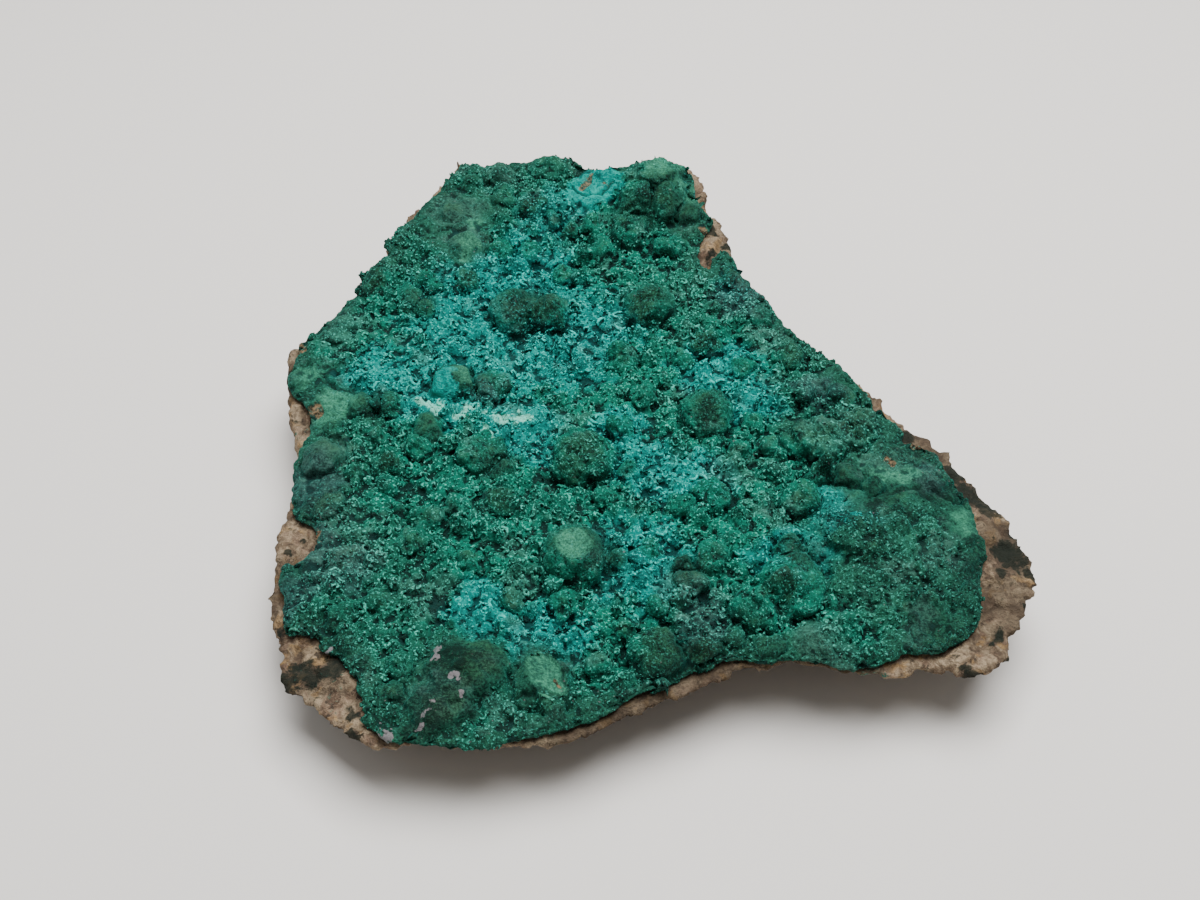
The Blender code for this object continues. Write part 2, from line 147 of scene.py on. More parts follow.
# ---- Lumps of the crust: middle in plan, radius, height -----------------------------------------
LUMPS = [
    # along the back edge
    (5, 73, 9.0, 1.3), (0, 69, 4.2, 2.6), (8.5, 68, 3.8, 2.4), (7, 76, 4.6, 2.0),
    (-1, 61, 4.7, 3.3), (-9, 54, 3.3, 2.6), (9, 55, 3.5, 2.7),
    (-12, 64, 2.8, 2.0), (-17, 63, 3.0, 2.0), (-22, 67, 2.4, 1.8), (-28, 73, 3.6, 2.4),
    (-36, 76, 3.4, 2.2), (-24, 88, 5.0, 2.4), (-38, 87, 4.2, 2.0), (15, 66, 3.6, 1.6),
    (-46, 58, 4.1, 0.9), (-28, 55, 3.3, 1.8), (-37, 56, 3.6, 1.6), (-19, 47, 3.2, 2.1),
    (-50, 72, 4.6, 0.8), (27, 43, 3.5, 1.5), (-46, 84, 3.2, 1.0), (12, 80, 3.0, 1.6),
    # behind the middle
    (-32, 33, 6.1, 4.9), (-23, 33, 5.5, 4.6), (4, 33, 6.0, 5.1), (-4, 15, 4.1, 3.7),
    (18, 18, 3.6, 3.6), (38, 12, 4.3, 2.6), (-69, 43, 4.3, 2.8), (-45, 43, 3.5, 2.9),
    (-55, 43, 3.2, 2.4), (-60, 37, 3.4, 2.6), (-55, 33, 2.9, 2.2), (21, 33, 2.4, 1.9),
    (28, 22, 2.4, 1.6), (32, 28, 3.4, 1.6), (27, 10, 2.8, 2.0), (11, 14, 3.0, 2.0),
    (-46, 6, 5.0, 3.0), (-36, 6, 4.5, 2.5), (-76, 27, 3.9, 1.8), (2, 1, 3.7, 2.1),
    # across the middle
    (17, -6, 6.4, 4.0), (28, -10, 2.9, 2.5), (41, -1, 3.2, 2.7), (50, -2, 3.2, 2.4),
    (54, -10, 3.6, 2.7), (24, -18, 2.9, 2.4), (30, -17, 2.6, 2.2), (-13, -21, 7.4, 5.2),
    (-4, -10, 3.6, 2.7), (-38, -19, 5.3, 3.0), (-33, -34, 4.2, 2.8), (-32, -24, 2.6, 1.9),
    (-60, -23, 3.3, 3.1), (-53, -17, 3.1, 2.6), (-62, -14, 2.7, 2.1), (-68, -2, 3.7, 2.4),
    (-61, -2, 3.5, 2.2), (-67, -24, 2.4, 1.9), (-51, -10, 3.7, 2.3), (-2, -24, 2.8, 2.1),
    (-76, -19, 4.8, 2.4), (-74, -9, 2.6, 1.6), (44, -16, 6.0, 3.8), (38, -16, 4.1, 2.4),
    (51, -14, 4.8, 2.7), (48, -28, 3.5, 2.2), (54, -32, 3.0, 1.7), (43, -27.5, 3.0, 7.0),
    (43.5, -27, 1.8, 9.0), (-43, -35, 2.8, 1.8), (-48, -39, 3.0, 1.7), (-72, -34, 3.5, 1.6),
    # towards the front
    (-15, -53, 6.9, 6.5), (37, -35, 4.4, 3.6), (9, -36, 3.2, 2.4), (17, -33, 4.2, 3.0),
    (-7, -34, 3.0, 1.7), (33, -49, 2.9, 4.6), (16, -51, 4.0, 3.3), (9, -54, 2.5, 2.1),
    (11, -59, 3.3, 2.2), (33, -59, 7.3, 3.6), (30, -61, 2.4, 7.0), (25, -65, 5.2, 4.2),
    (3, -65, 2.6, 2.4),
    (-17, -65, 3.3, 2.4), (-4, -71, 2.6, 1.9), (-9, -80, 3.2, 2.1), (3, -77, 6.0, 2.8),
    (-52, -46, 3.2, 2.0), (-38, -52, 3.4, 1.5), (-29, -63, 2.8, 1.6), (-58, -61, 3.3, 1.5),
    (-66, -66, 3.1, 1.4), (-5, -53, 2.9, 1.6), (2, -50, 3.4, 1.6), (12, -76, 3.9, 1.7),
    (19, -73, 2.8, 1.6), (27, -74, 3.2, 1.6),
    (-52, -79, 2.8, 2.1), (-53, -86, 2.9, 1.8), (-21, -84, 5.9, 3.0), (-37, -80, 7.5, 1.3),
    (-43, -89, 6.3, 0.9), (-66, -50, 3.6, 1.5),
]

# Lumps with a broken or worn face: a point on the face, its slopes along X and Y,
# half its length and width and its turn, and how far the lump rises to it.
BROKEN_TOPS = [
    ((-20.3, -84.3, 22.8), (-0.25, -0.10), (8.6, 4.1, -1.19), 3.6),
    ((-15, -53, 31.0), (-0.05, 0.16), (9.0, 9.0, 0.0), 0.0),
]

# ---- Where the crust changes: middle in plan, radius --------------------------------------------
TURQUOISE = [
    (-36, 38, 30), (-40, 18, 27), (-20, 20, 22), (-49, 2, 17), (-31, 49, 20), (-9, 27, 17),
    (-4, -10, 9), (12, -27, 13), (33, -52, 12), (49, -43, 7), (-35, -65, 10), (0, -53, 17),
    (-21, -73, 12), (3, -24, 14), (-29, -10, 15), (28, -1, 11), (46, -39, 10), (20, 10, 14),
    (-22, 70, 14), (-66, 8, 14), (27, 43, 9), (16, 76, 9),
]
SMOOTH = [
    (-50, 70, 15), (-46, 58, 8), (-76, 0, 11), (-77, -19, 10), (-76, -27, 9),
    (-38, -81, 10), (-43, -90, 9), (-21, -83, 8), (56, -30, 13), (69, -30, 9), (66, -18, 11),
    (18, 64, 8), (17, 76, 7), (24, 58, 6), (34, -77, 9), (64, -70, 8), (-46, 7, 7), (-51, -10, 5),
    (-11, 78, 8), (50, 4, 7), (75, -42, 7), (-83, 10, 9),
]
FINE = [
    (57, -48, 27), (-15, -51, 9), (-38, -80, 14), (-44, -88, 12), (-33, 33, 8), (-23, 33, 7),
    (4, 33, 8), (17, -6, 8), (76, -45, 14),
]
PALE = [(-51, -3, 3.4), (-29, -5.5, 3.4), (-36, -12, 2.6), (-42, -4, 2.6), (-34, -6, 3)]
LIGHT_GREEN = [
    (-45, 57, 4.5), (-43, 66, 3), (-75, -1, 8), (58, -28, 6), (64, -27, 4), (-43, 6, 4),
    (9, 80, 8), (17, 72, 6), (-84, 11, 5), (75, -41, 5), (-20, -90.5, 2),
]
CYAN = [(-48, 4, 4.8), (-11, 78, 11), (49, -43, 2.2), (-4, -10, 1.8)]
MUTED = [
    (-68, -58, 30), (-60, -85, 24), (-76, -20, 20), (-30, 86, 26), (-58, 62, 24), (4, 84, 6),
    (50, 2, 20), (62, -22, 18), (68, -31, 16), (62, -56, 24), (64, -68, 18), (22, 40, 18),
    (-20, -94, 16), (20, -78, 14),
]
SLATE = [
    (-77, -26, 10), (-67, -53, 10), (67, -29, 6), (28, 35, 10), (14, -68, 9), (-38, 3, 5),
    (-76, -45, 9), (-80, -60, 9), (44, 0, 8),
]
DUSTY = [
    (-46, 60, 7), (-50, 72, 10), (-38, 87, 8), (46, -15, 10), (54, -10, 7), (-76, -19, 9),
    (-66, -48, 10), (-43, -88, 9), (-76, 27, 10), (60, -25, 9), (-26, -60, 7), (8, -62, 8),
    (33, -40, 6), (22, -25, 8), (-70, -38, 8), (-48, -60, 8), (34, 20, 7),
    (-30, -90, 6), (40, -74, 9), (62, -66, 4), (66, -52, 5), (56, -57, 4),
]
# Darker green: partly the crust's own colour and partly painted shade on the lower flanks of
# lumps.
DARK_AND_SHADED = [
    (-27, 28, 8), (-24, 33, 5), (52, -50, 6), (71, -72, 6), (4, 68, 4), (-28, 73, 5),
    (-13, -23, 9), (-33, -35, 7), (-60, -24, 5), (3, -77, 8), (18, 18, 5), (-45, 43, 5),
    (38, 12, 6), (12, -76, 6), (62, -60, 5), (80, -57, 6), (60, -73, 4), (-38, -81, 9),
    (51, -14, 5), (-75, -33, 7), (64, -70, 9), (43, -27, 6), (-70, 43, 5), (-70, -74, 8),
    (76, -52, 8), (30, -62, 4), (-44, -93, 10), (70, -32, 8), (62, -17, 6), (3, 30, 6),
    (58, -38, 6), (66, -20, 8), (78, -38, 6), (-52, 80, 6), (17, -8, 5), (48, -44, 7),
    (0, -35, 6), (-18, 60, 6),
]
SPECKS = [
    (-43.5, -76.5, 1.6), (-43, -79, 1.5), (-39.6, -85, 1.3), (-39.2, -88, 1.3), (-45, -88.5, 1.2),
    (-45.2, -91, 1.2), (-45.8, -93.8, 1.3), (-54.5, -96.5, 2.6), (-69, -73, 1.2),
]
BARE = [
    (-12, 81.5, 2.3), (-7, 78, 1.2), (22, 58, 4), (-82, -1, 3.5), (-88, 20, 3.5), (-78, -43, 4),
    (66, -17, 2.4), (60, -21, 1.6), (-17.2, -85.4, 1.1),
]
BLACK_STAIN = [
    (25, 60, 2.4), (22, 63, 1.8), (21, 54, 1.6), (-74, -76, 3), (-60, -88, 2.4), (-77, -66, 2.6),
    (79, -31, 8), (74, -24, 5), (84, -49, 6), (78, -69, 2.6), (86, -61, 3.4), (90, -53, 3),
    (66, -11, 3), (-62, -94, 3), (-80, -84, 3.4), (-75.5, -81, 4.4), (-70.5, -78.5, 4.6),
    (-66, -76, 4.2), (-86, 14, 4), (-82, -46, 2), (-79, -42, 1.6), (87, -43, 3), (70, -80, 3),
    (80, -76, 2.4),
]
DULL_ROCK = [
    (84, -46, 12), (82, -62, 9), (70, -16, 12), (-84, -58, 6), (-8, -94, 18), (12, -88, 20),
    (36, -84, 18), (-92, 12, 10),
]
GREEN_STAIN = [(22, -88, 9), (36, -86, 10), (50, -82, 8)]

# Cracks and creases: the points they run through, and how wide they are.
CREASES = [
    (((-79.9, 10.2), (-76, 5.4), (-71.1, 3.6)), 1.0),
    (((-25.5, -87.4), (-22, -88.3), (-18.5, -88.7), (-16.3, -89.6)), 0.8),
    (((-20, -77), (-17.0, -81), (-15.4, -86.0)), 0.7),
    (((59, -35), (64, -33), (67, -36)), 1.0),
    (((68, -33), (72, -36.5), (76, -35.5), (80, -39)), 0.9),
    (((-62, 66), (-55, 63), (-50, 65)), 0.9),
    (((-17, 81), (-14, 77), (-9, 75.5), (-5, 79)), 0.9),
]


# ---- Small helpers ------------------------------------------------------------------------------
def ease(values):
    """Smooth rise from 0 to 1."""
    values = np.clip(values, 0.0, 1.0)
    return values * values * (3.0 - 2.0 * values)


def hump(values, low, high):
    """0 at both ends of a range and 1 in its middle."""
    share = np.clip((values - low) / (high - low), 0.0, 1.0)
    return np.sin(share * math.pi) ** 2


def places_of(mesh):
    """Vertex positions of a mesh in millimetres, one row each."""
    places = np.empty(len(mesh.vertices) * 3)
    mesh.vertices.foreach_get("co", places)
    return places.reshape(-1, 3) / MM


def put_places(mesh, places):
    """Move a mesh's vertices to places in millimetres."""
    mesh.vertices.foreach_set("co", (places * MM).ravel())
    mesh.update()


def normals_of(mesh):
    """Vertex normals of a mesh, one row each."""
    normals = np.empty(len(mesh.vertices) * 3)
    mesh.vertex_normals.foreach_get("vector", normals)
    return normals.reshape(-1, 3)


def wandering(places):
    """Plan positions pushed about by a few millimetres, so that spots get uneven outlines."""
    x, y = places[:, 0], places[:, 1]
    across = 1.3 * np.sin(0.43 * y + 1.9 * np.sin(0.19 * x))
    across += 0.7 * np.sin(1.1 * y + 0.8 * x + 1.0)
    along = 1.3 * np.sin(0.39 * x + 2.1 * np.sin(0.23 * y) + 2.0)
    along += 0.7 * np.sin(1.2 * x - 0.7 * y)
    return x + across, y + along


def spot_mask(places, spots):
    """1 in the middle of the spots, falling evenly to 0 at their edges."""
    x, y = wandering(places)
    mask = np.zeros(len(places))
    for middle_x, middle_y, radius in spots:
        distance = np.hypot(x - middle_x, y - middle_y) / radius
        mask = np.maximum(mask, 1.0 - distance ** 2)
    return mask


def crease_mask(places):
    """1 along the creases, falling to 0 at their edges."""
    mask = np.zeros(len(places))
    x, y = wandering(places)
    x, y = 0.6 * places[:, 0] + 0.4 * x, 0.6 * places[:, 1] + 0.4 * y
    for points, width in CREASES:
        for (x1, y1), (x2, y2) in zip(points, points[1:]):
            length = math.hypot(x2 - x1, y2 - y1)
            step_x, step_y = (x2 - x1) / length, (y2 - y1) / length
            along = np.clip((x - x1) * step_x + (y - y1) * step_y, 0.0, length)
            away = np.hypot(x - x1 - along * step_x, y - y1 - along * step_y)
            mask = np.maximum(mask, 1.0 - away / width)
    return ease(mask)


def rim_mask(mesh, reach):
    """1 over a plate's outer lower edge, falling to 0 at some distance inside it."""
    places = places_of(mesh)
    tilt = normals_of(mesh)[:, 2]
    lower_edge = np.flatnonzero((tilt > -0.8) * (tilt < -0.15))[::2]
    tree = KDTree(len(lower_edge))
    for index in lower_edge:
        tree.insert((places[index, 0], places[index, 1], 0.0), int(index))
    tree.balance()
    distances = np.array([tree.find((x, y, 0.0))[2] for x, y in places[:, :2]])
    return np.clip(1.0 - distances / reach, 0.0, 1.0)


def keep_value(mesh, name, values):
    """Store one number a vertex under a name that materials and nodes can read."""
    attribute = mesh.attributes.new(name, "FLOAT", "POINT")
    attribute.data.foreach_set("value", np.asarray(values, dtype=np.float32))


def use_only(piece):
    """Select one object and make it active."""
    for item in bpy.context.view_layer.objects:
        item.select_set(item == piece)
    bpy.context.view_layer.objects.active = piece


def smooth(piece):
    """Shade a piece without flat faces."""
    use_only(piece)
    bpy.ops.object.shade_smooth()


def give_finish(piece, finish):
    """Make a material the only one on a piece."""
    piece.data.materials.clear()
    piece.data.materials.append(finish)


def finish_modifier(piece, kind, **settings):
    """Add a modifier, set it up and apply it."""
    use_only(piece)
    modifier = piece.modifiers.new(kind.lower(), kind)
    for name, value in settings.items():
        setattr(modifier, name, value)
    bpy.ops.object.modifier_apply(modifier=modifier.name)


def new_piece(name, mesh):
    """An object that shows a mesh."""
    piece = bpy.data.objects.new(name, mesh)
    bpy.context.scene.collection.objects.link(piece)
    return piece


def draw_in_front(mesh):
    """Bring the edge of the front bay in a little, where the rock is thin."""
    places = places_of(mesh)
    away = (places[:, :2] - BAY_MIDDLE) / BAY_REACH
    places[:, 1] += BAY_DRAW * np.exp(-(away[:, 0] ** 2 + away[:, 1] ** 2))
    put_places(mesh, places)


def copied_node(node, name):
    """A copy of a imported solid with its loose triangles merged."""
    piece = new_piece(name, bpy.data.objects[node].data.copy())
    use_only(piece)
    bpy.ops.object.mode_set(mode="EDIT")
    bpy.ops.mesh.select_all(action="SELECT")
    bpy.ops.mesh.remove_doubles(threshold=MERGE_DISTANCE * MM)
    bpy.ops.object.mode_set(mode="OBJECT")
    return piece


def thin_out(piece, hidden):
    """Keep only a few faces where the mask says that the piece is hidden."""
    group = piece.vertex_groups.new(name="hidden")
    group.add([int(index) for index in np.flatnonzero(hidden)], 1.0, "REPLACE")
    ratio = 1.0 - float(np.mean(hidden)) * (1.0 - HIDDEN_SHARE)
    finish_modifier(piece, "DECIMATE", ratio=ratio, vertex_group="hidden",
                    use_collapse_triangulate=True)
    piece.vertex_groups.clear()


# ---- Node trees ---------------------------------------------------------------------------------
class Signal:
    """A node's output that takes part in sums and products as a number does."""

    def __init__(self, tree, socket):
        self.tree = tree
        self.socket = socket

    def math(self, operation, *values, clamp=False):
        settings = {"operation": operation, "use_clamp": clamp}
        return self.tree.node("ShaderNodeMath", settings, dict(enumerate((self, *values))))

    def __add__(self, other):
        return self.math("ADD", other)

    def __sub__(self, other):
        return self.math("SUBTRACT", other)

    def __mul__(self, other):
        return self.math("MULTIPLY", other)

    def __rsub__(self, other):
        return self.tree.node("ShaderNodeMath", {"operation": "SUBTRACT"}, {0: other, 1: self})

    def __gt__(self, other):
        return self.math("GREATER_THAN", other)

    def __lt__(self, other):
        return self.math("LESS_THAN", other)

    def __abs__(self):
        return self.math("ABSOLUTE")

    __radd__ = __add__
    __rmul__ = __mul__

    def clamped(self):
        return self.math("ADD", 0.0, clamp=True)

    def between(self, low, high):
        """0 below the low value, 1 above the high one, eased in between."""
        settings = {"interpolation_type": "SMOOTHSTEP"}
        sockets = {0: self, 1: low, 2: high, 3: 0.0, 4: 1.0}
        return self.tree.node("ShaderNodeMapRange", settings, sockets)


class Tree:
    """A node tree that is written as expressions."""

    def __init__(self, tree):
        self.tree = tree

    def feed(self, socket, value):
        """Link a socket to a signal, or set it to a plain value."""
        if isinstance(value, Signal):
            self.tree.links.new(value.socket, socket)
        else:
            socket.default_value = value

    def node(self, kind, settings=None, sockets=None, output=0):
        """Add a node, set it up, feed its sockets and give one of its outputs."""
        node = self.tree.nodes.new(kind)
        for name, value in (settings or {}).items():
            setattr(node, name, value)
        for key, value in (sockets or {}).items():
            self.feed(node.inputs[key], value)
        return Signal(self, node.outputs[output])

    def vector_math(self, operation, sockets):
        return self.node("ShaderNodeVectorMath", {"operation": operation}, sockets)

    def scaled(self, vector, factor):
        return self.vector_math("SCALE", {0: vector, "Scale": factor})

    def stretched(self, vector, factors):
        return self.vector_math("MULTIPLY", {0: vector, 1: factors})

    def vector_sum(self, first, second):
        return self.vector_math("ADD", {0: first, 1: second})

    def noise(self, place, scale, detail=2.0, roughness=0.5, output=0):
        sockets = {"Vector": place, "Scale": scale, "Detail": detail, "Roughness": roughness}
        return self.node("ShaderNodeTexNoise", None, sockets, output)

    def cells(self, place, scale, output=0):
        return self.node("ShaderNodeTexVoronoi", None, {"Vector": place, "Scale": scale}, output)

    def knobs(self, place, scale, sharpness):
        """Round knobs: 1 on top and 0 between them."""
        distance = self.cells(place, scale)
        return (1.0 - distance * distance * sharpness).clamped()

    def warped(self, place, scale, amount):
        """The place, pushed about by a soft noise."""
        push = self.vector_sum(self.noise(place, scale, 1.0, output=1), (-0.5, -0.5, -0.5))
        return self.vector_sum(place, self.scaled(push, amount))


class Finish(Tree):
    """A material: its shader, and the place on the piece in millimetres."""

    def __init__(self, name):
        self.material = bpy.data.materials.new(name)
        self.material.use_nodes = True
        super().__init__(self.material.node_tree)
        self.shader = self.tree.nodes["Principled BSDF"]
        self.place = self.scaled(self.node("ShaderNodeTexCoord", None, None, "Object"), 1.0 / MM)

    def mix(self, factor, first, second):
        """A colour between two others, or the first where the factor is 0."""
        sockets = {0: factor, 6: first, 7: second}
        return self.node("ShaderNodeMix", {"data_type": "RGBA"}, sockets, 2)

    def shade(self, name, tone):
        """A colour between the dark and the light of a finish."""
        return self.mix(tone, *COLOURS[name])

    def value(self, name):
        """A number that is stored on the mesh."""
        settings = {"attribute_type": "GEOMETRY", "attribute_name": name}
        return self.node("ShaderNodeAttribute", settings, None, "Fac")

    def set(self, **sockets):
        """Feed the shader's own sockets, which are named with underscores here."""
        for name, value in sockets.items():
            self.feed(self.shader.inputs[name.replace("_", " ")], value)

    def bump(self, height, distance, strength=1.0):
        """A bumped normal; the distance is in millimetres."""
        sockets = {"Height": height, "Distance": distance * MM, "Strength": strength}
        return self.node("ShaderNodeBump", None, sockets)


class Growth(Tree):
    """A geometry node tree that changes a piece's mesh."""

    def __init__(self, name):
        group = bpy.data.node_groups.new(name, "GeometryNodeTree")
        for direction in ("INPUT", "OUTPUT"):
            group.interface.new_socket("Geometry", in_out=direction,
                                       socket_type="NodeSocketGeometry")
        super().__init__(group)
        self.mesh = self.node("NodeGroupInput")
        self.place = self.scaled(self.node("GeometryNodeInputPosition"), 1.0 / MM)
        self.normal = self.node("GeometryNodeInputNormal")

    def value(self, name):
        """A number that is stored on the mesh."""
        settings = {"data_type": "FLOAT"}
        return self.node("GeometryNodeInputNamedAttribute", settings, {"Name": name})

    def part(self, vector, axis):
        return self.node("ShaderNodeSeparateXYZ", None, {0: vector}, axis)

    def vector(self, x, y, z):
        return self.node("ShaderNodeCombineXYZ", None, {0: x, 1: y, 2: z})

    def chance(self, low, high, seed):
        """A number of its own for each element."""
        sockets = {2: low, 3: high, "Seed": seed}
        return self.node("FunctionNodeRandomValue", {"data_type": "FLOAT"}, sockets, 1)

    def keep(self, geometry, name, value):
        """The geometry with a number stored on it under a name."""
        sockets = {"Geometry": geometry, "Name": name, "Value": value}
        return self.node("GeometryNodeStoreNamedAttribute", {"data_type": "FLOAT"}, sockets)

    def moved(self, geometry, height):
        """The mesh with each vertex raised along its normal, by a height in millimetres."""
        offset = self.scaled(self.normal, height * MM)
        return self.node("GeometryNodeSetPosition", None, {"Geometry": geometry, "Offset": offset})

    def apply_to(self, piece, result):
        """Close the tree with its result and apply it to a piece as a modifier."""
        output = self.tree.nodes.new("NodeGroupOutput")
        self.tree.links.new(result.socket, output.inputs[0])
        finish_modifier(piece, "NODES", node_group=self.tree)


# ---- Finishes -----------------------------------------------------------------------------------
def patch(finish, name, unevenness, low, high):
    """Where a stored zone shows: 1 inside it, with a ragged edge."""
    zone = finish.value(name)
    return ((zone + unevenness) * zone.between(0.0, 0.25)).between(low, high)


def zone_colour(finish, tone):
    """Green of the crust, dark to light with the tone, and over it the colours of its zones."""
    place = finish.place
    mottle = finish.noise(place, 0.16, 3.0, 0.6) - 0.5
    fine = finish.noise(place, 0.55, 3.0, 0.6) - 0.5
    lump = finish.value("lump").between(0.0, 0.45)
    fine_zone = finish.value("fine")
    rim = finish.value("rim")
    tone = tone + mottle * (0.62 + fine_zone * 0.45) + fine * 0.50
    # Darker in the dark spots, partly painted shade, and painted shade about the feet of the
    # lumps.
    tone = tone - finish.value("dark") * 0.20 - finish.value("foot") * 0.18
    tone = (tone - lump * 0.06 - fine_zone * 0.06 - rim * 0.14).clamped()
    blue = finish.value("turquoise") * 1.25 + mottle * 1.7 + fine * 0.5 - lump * 0.80
    blue = (blue - finish.value("clump") * 0.25).between(0.0, 0.9)
    colour = finish.mix(blue, finish.shade("green", tone), finish.shade("turquoise", tone))
    calm = (1.0 - finish.value("granular")) * 0.85 + fine_zone * 0.4 + rim * 0.4
    calm = calm + (finish.value("muted") + mottle).between(0.0, 0.7) * 0.55
    colour = finish.mix(calm.clamped() * 0.9, colour, finish.shade("muted", tone))
    slate = patch(finish, "slate", (mottle + fine) * 0.9, 0.1, 0.8) * 0.85
    colour = finish.mix(slate, colour, finish.shade("slate", tone))
    haze = finish.noise(place, 0.11, 3.0, 0.65).between(0.54, 0.68) * 0.42
    dust = patch(finish, "dusty", mottle + fine, 0.1, 0.9) * 0.40
    colour = finish.mix((haze + dust).clamped(), colour, finish.shade("dusty", tone))
    # Olive over the lumps and the darker spots; on the lower flanks of lumps it deepens the
    # painted shade.
    olive_and_shade = finish.value("lump").between(0.1, 0.9) * 0.32 + finish.value("dark") * 0.30
    olive_and_shade = (olive_and_shade + mottle * 1.3 + fine * 0.8).between(0.18, 0.62)
    colour = finish.mix(olive_and_shade * 0.52, colour, finish.shade("olive", tone))
    light = patch(finish, "light_green", mottle * 0.6 + fine * 0.5, 0.15, 0.9) * 0.65
    light = (light + finish.value("facet") * 0.75).clamped()
    colour = finish.mix(light, colour, finish.shade("light green", tone))
    cyan = patch(finish, "cyan", mottle + fine, 0.25, 0.6)
    colour = finish.mix(cyan, colour, finish.shade("cyan", tone))
    mint = patch(finish, "pale", mottle * 1.6 + fine * 2.6, 0.35, 0.80) * 0.85
    colour = finish.mix(mint, colour, MINT)
    speckle = finish.noise(place, 1.1, 3.0, 0.7).between(0.40, 0.62)
    bare = patch(finish, "bare", fine * 1.8 + mottle, 0.20, 0.60) * 0.85
    colour = finish.mix(bare, colour, finish.shade("bare", speckle))
    # Painted shade along the creases.
    return finish.mix(finish.value("crease") * 0.85, colour, PAINTED_CREASE_SHADE)


def pale_crystals_and_highlights(finish, colour, share):
    """Tiny pale crystals dusted over a colour, least where the crust is smooth; set on crests and
    tips, they are partly painted highlights.
    """
    dust = finish.noise(finish.place, 1.7, 2.0, 0.7)
    plenty = 0.25 + finish.value("granular") * 0.5 - finish.value("fine") * 0.28
    plenty = plenty - finish.value("lump").between(0.1, 0.5) * 0.2
    plenty = plenty - finish.value("cyan").between(0.1, 0.5) * 0.4
    crystal_and_highlight = finish.shade("crystal_and_highlight", finish.value("turquoise").clamped())
    return finish.mix((dust + share).between(0.60, 0.74) * plenty.clamped(), colour, crystal_and_highlight)


def skin_finish():
    """Skin of the crust under and between the grains, with painted highlights on its crests and
    painted shade in its gaps.
    """
    finish = Finish("malachite skin")
    grain = finish.noise(finish.place, 1.9, 3.0, 0.7)
    crest = finish.value("crest")
    # Painted light and shade: crests are made lighter and hollows darker.
    edge = crest.between(0.08, 0.50) * 0.96 - crest.between(0.55, 0.95) * 0.22
    tone = edge - 0.48 + (grain - 0.5) * (1.0 + finish.value("fineness"))
    # Painted shade: the gaps between crests take a dark colour, more of it near the edge.
    gap_shade = (1.0 - crest.between(0.05, 0.35)) * (0.60 + finish.value("rim") * 0.3)
    depth = finish.shade("gap_shade", finish.value("turquoise").clamped())
    colour = finish.mix(gap_shade, zone_colour(finish, tone), depth)
    colour = pale_crystals_and_highlights(finish, colour, crest.between(0.08, 0.45) * 0.13 - 0.08)
    crumb = finish.noise(finish.place, 0.9, 3.0) - 0.5
    speck = patch(finish, "speck", crumb * 3.2, 0.30, 0.60) + crumb.between(0.20, 0.26) * 0.6
    colour = finish.mix(speck.clamped() * 0.85, colour, SPECK_GREY)
    finish.set(Base_Color=colour, Roughness=0.66 + grain * 0.2, Specular_IOR_Level=0.12,
               Sheen_Weight=0.16, Sheen_Roughness=0.35, Sheen_Tint=SKIN_SHEEN,
               Normal=finish.bump(grain, 0.5))
    return finish.material


def grain_finish():
    """Velvety grains, painted with shade at the base and a highlight towards the top, partly their
    own paler tips.
    """
    finish = Finish("malachite grains")
    grain = finish.noise(finish.place, 2.6, 2.0, 0.6)
    crest = finish.value("crest")
    tip = finish.value("tip")
    # Painted light and shade: each grain is darker at its base, lighter at its top and on the
    # skin's crests.
    tone = tip * 0.66 + finish.value("tone") * 0.54 + crest.between(0.08, 0.50) * 0.80
    tone = tone - crest.between(0.55, 0.95) * 0.12 + (grain - 0.5) * 0.8 - 1.11
    share = tip * 0.14 + crest.between(0.10, 0.5) * 0.14 - 0.13
    colour = pale_crystals_and_highlights(finish, zone_colour(finish, tone), share)
    finish.set(Base_Color=colour, Roughness=0.60 + grain * 0.25, Specular_IOR_Level=0.15,
               Sheen_Weight=0.13, Sheen_Roughness=0.4, Sheen_Tint=GRAIN_SHEEN,
               Normal=finish.bump(grain, 0.25, 0.9))
    return finish.material


